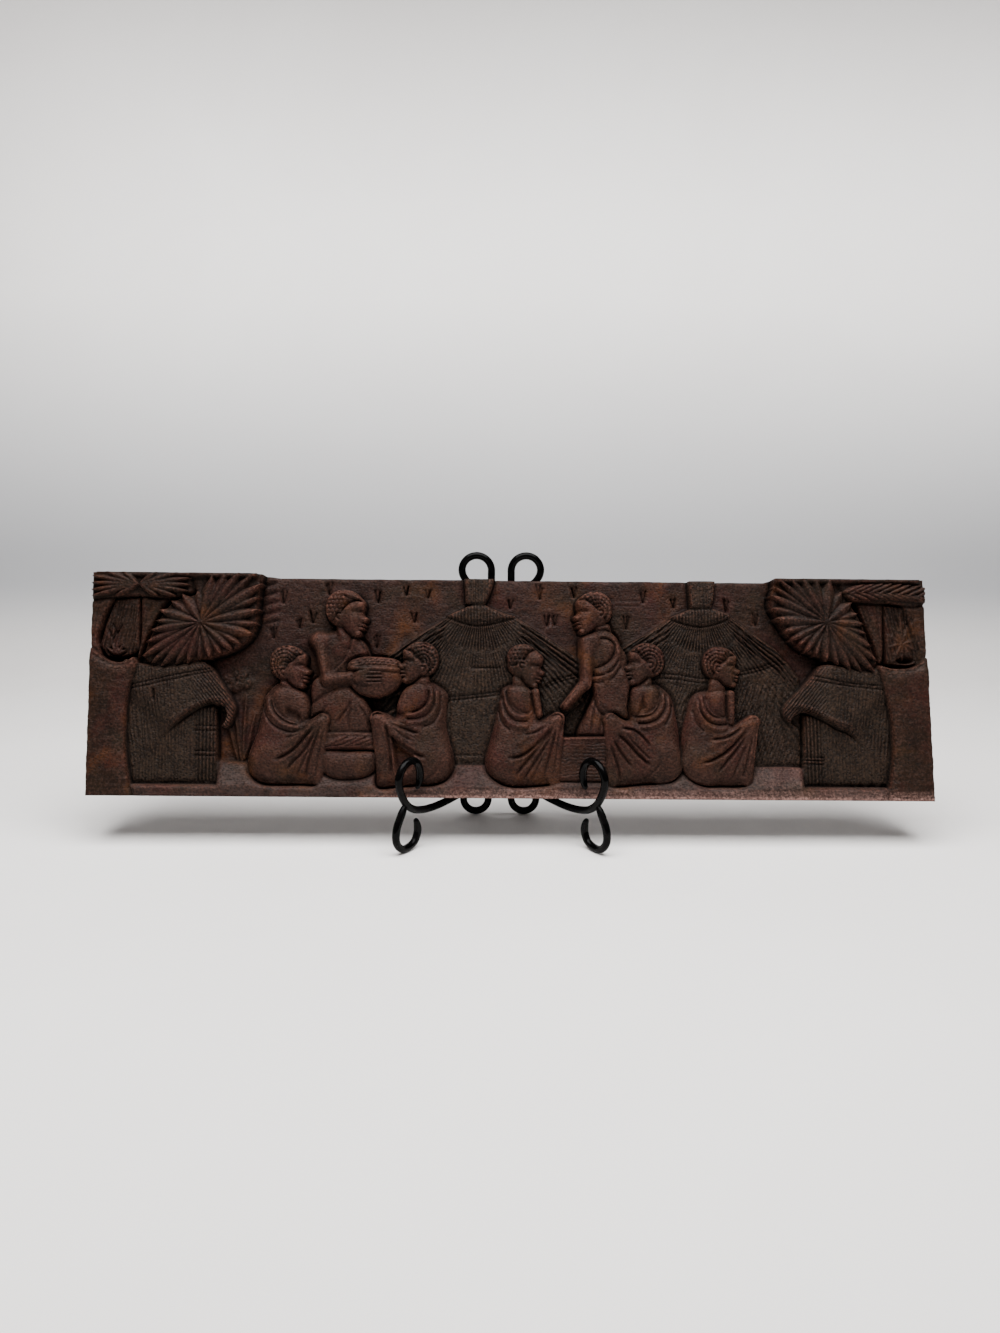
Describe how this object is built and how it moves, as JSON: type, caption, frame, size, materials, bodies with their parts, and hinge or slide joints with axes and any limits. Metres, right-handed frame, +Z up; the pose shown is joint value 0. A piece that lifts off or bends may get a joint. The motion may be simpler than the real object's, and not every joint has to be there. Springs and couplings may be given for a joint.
{
  "type": "carved relief plaque on wire easel",
  "caption": "Long carved hardwood relief board of a village scene, leaning on a low black wire easel with curled feet, hooks and uprights.",
  "frame": {"origin": "middle of the bounding box's footprint, on the surface the feet stand on", "axes": "+X along the board to the viewer's right, +Y from the carved face to the back, +Z up"},
  "size_m": [0.61, 0.103, 0.2036],
  "materials": {
    "stained_wood": "dark reddish-brown stain with a soft waxed sheen",
    "black_iron": "black enamel, satin to gloss"
  },
  "bodies": {
    "root": {"carved_panel": "stained_wood", "easel_upright_left": "black_iron", "easel_arm_left": "black_iron", "easel_foot_left": "black_iron", "easel_upright_right": "black_iron", "easel_arm_right": "black_iron", "easel_foot_right": "black_iron", "easel_tie_lower": "black_iron", "easel_tie_upper": "black_iron"}
  },
  "joints": []
}
